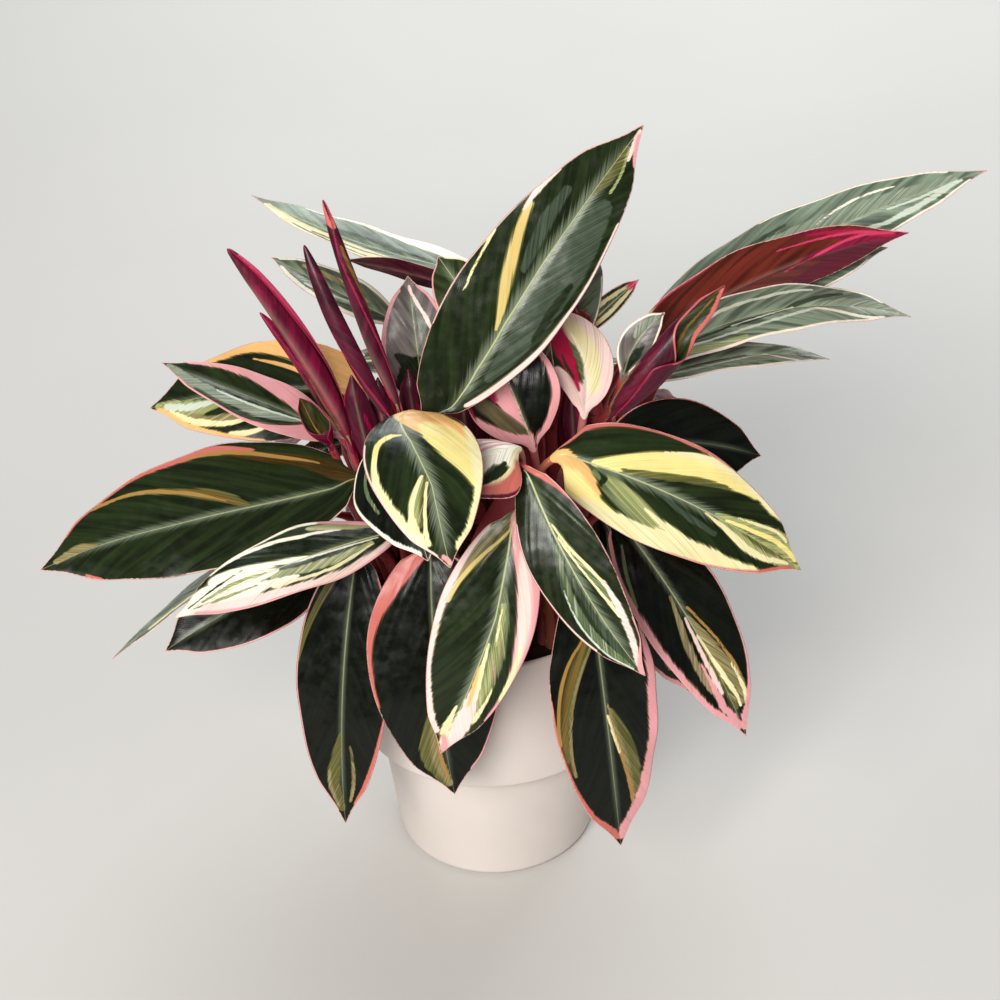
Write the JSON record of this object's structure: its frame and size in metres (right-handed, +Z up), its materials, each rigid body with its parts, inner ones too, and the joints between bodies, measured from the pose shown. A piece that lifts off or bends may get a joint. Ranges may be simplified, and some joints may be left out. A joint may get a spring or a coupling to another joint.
{
  "type": "potted stromanthe",
  "caption": "Potted stromanthe, a leafy house plant with long striped leaves on thin stalks, standing in a plain white collared pot.",
  "frame": {"origin": "centre of the pot's underside", "axes": "+Z up, along the pot's axis; the plant's front is -Y"},
  "size_m": [0.4593, 0.3006, 0.4054],
  "materials": {
    "pot": "matte",
    "soil": "matte",
    "leaf": "satin",
    "new_leaf": "satin"
  },
  "bodies": {
    "root": {"pot": "pot", "potting_soil": "soil", "leaf_tall_front": "leaf", "leaf_front_gold": "leaf", "leaf_front_gold_under": "leaf", "leaf_right_gold": "leaf", "leaf_front_drop_right": "leaf", "leaf_front_centre": "leaf", "leaf_front_low_left": "leaf", "leaf_low_left": "leaf", "leaf_low_right": "leaf", "leaf_right_low": "leaf", "leaf_right_low_under": "leaf", "leaf_left_big": "leaf", "leaf_left_pink": "leaf", "leaf_left_dark_low": "leaf", "leaf_left_edge_on": "leaf", "leaf_left_orange": "leaf", "leaf_left_pink_narrow": "leaf", "leaf_back_left_long": "leaf", "leaf_back_left_under": "leaf", "leaf_back_left_small": "leaf", "leaf_back_pale": "leaf", "leaf_back_dark": "leaf", "leaf_behind_tall": "leaf", "leaf_small_upright": "leaf", "leaf_centre_cream": "leaf", "leaf_centre_dark": "leaf", "leaf_centre_white": "leaf", "leaf_right_dark": "leaf", "leaf_right_upper": "leaf", "leaf_right_burgundy": "leaf", "leaf_right_mid": "leaf", "leaf_right_lower": "leaf", "leaf_side_half_open": "leaf", "leaf_right_upper_low": "leaf", "leaf_rear_upper_left": "leaf", "leaf_rear_upper_middle": "leaf", "leaf_rear_upper_right": "leaf", "leaf_rear_side_left": "leaf", "leaf_rear_side_right": "leaf", "leaf_rear_low_middle": "leaf", "leaf_rear_left": "leaf", "leaf_rear_middle": "leaf", "leaf_rear_right": "leaf", "leaf_rear_low_left": "leaf", "leaf_rear_low_right": "leaf", "new_leaf_left": "new_leaf", "new_leaf_left_short": "new_leaf", "new_leaf_middle": "new_leaf", "new_leaf_right": "new_leaf", "new_leaf_side": "new_leaf", "new_leaf_red": "new_leaf", "new_leaf_small": "new_leaf"}
  },
  "joints": []
}
